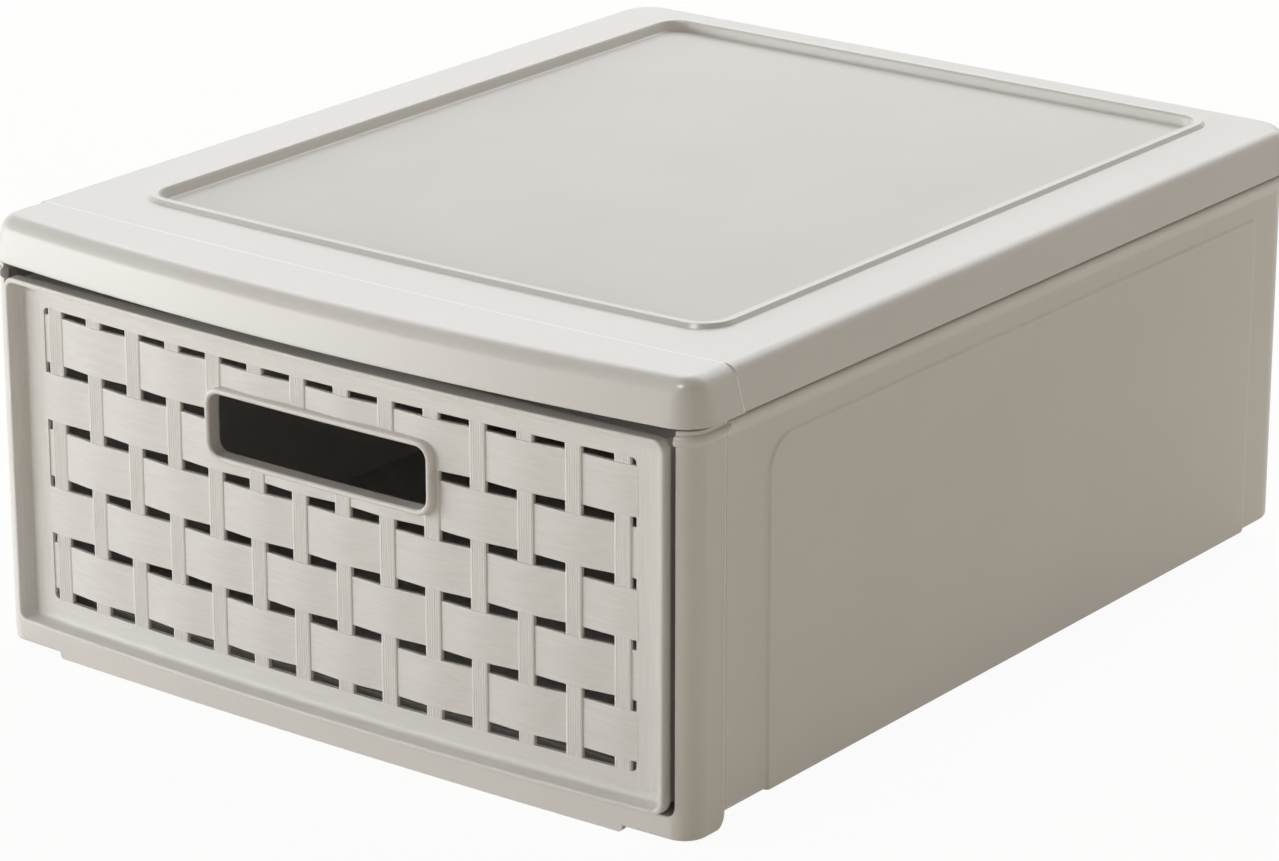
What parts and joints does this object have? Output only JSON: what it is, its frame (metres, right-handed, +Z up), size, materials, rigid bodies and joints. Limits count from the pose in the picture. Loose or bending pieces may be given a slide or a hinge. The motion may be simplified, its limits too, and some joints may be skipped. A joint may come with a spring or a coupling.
{
  "type": "stackable drawer box",
  "caption": "Free-standing stackable drawer box: moulded housing with bowed lid and stacking ring, and a pull-out drawer with basket-weave front and hand hole.",
  "frame": {"origin": "middle of the footprint on the ground, under the middle of the overall box", "axes": "+X to the right seen from the front, +Y to the rear, +Z up; the drawer opens towards -Y"},
  "size_m": [0.3292, 0.413, 0.1705],
  "materials": {
    "housing_plastic": "satin",
    "drawer_plastic": "satin"
  },
  "bodies": {
    "housing": {"base_shell": "housing_plastic", "front_frame": "housing_plastic", "lid": "housing_plastic", "front_hood": "housing_plastic"},
    "drawer": {"drawer_tray": "drawer_plastic", "drawer_front": "drawer_plastic", "grip_frame": "drawer_plastic"}
  },
  "joints": [
    {"name": "drawer_slide", "type": "slide", "parent": "housing", "child": "drawer", "axis": [0, -1, 0], "range_m": [0, 0.3]}
  ]
}
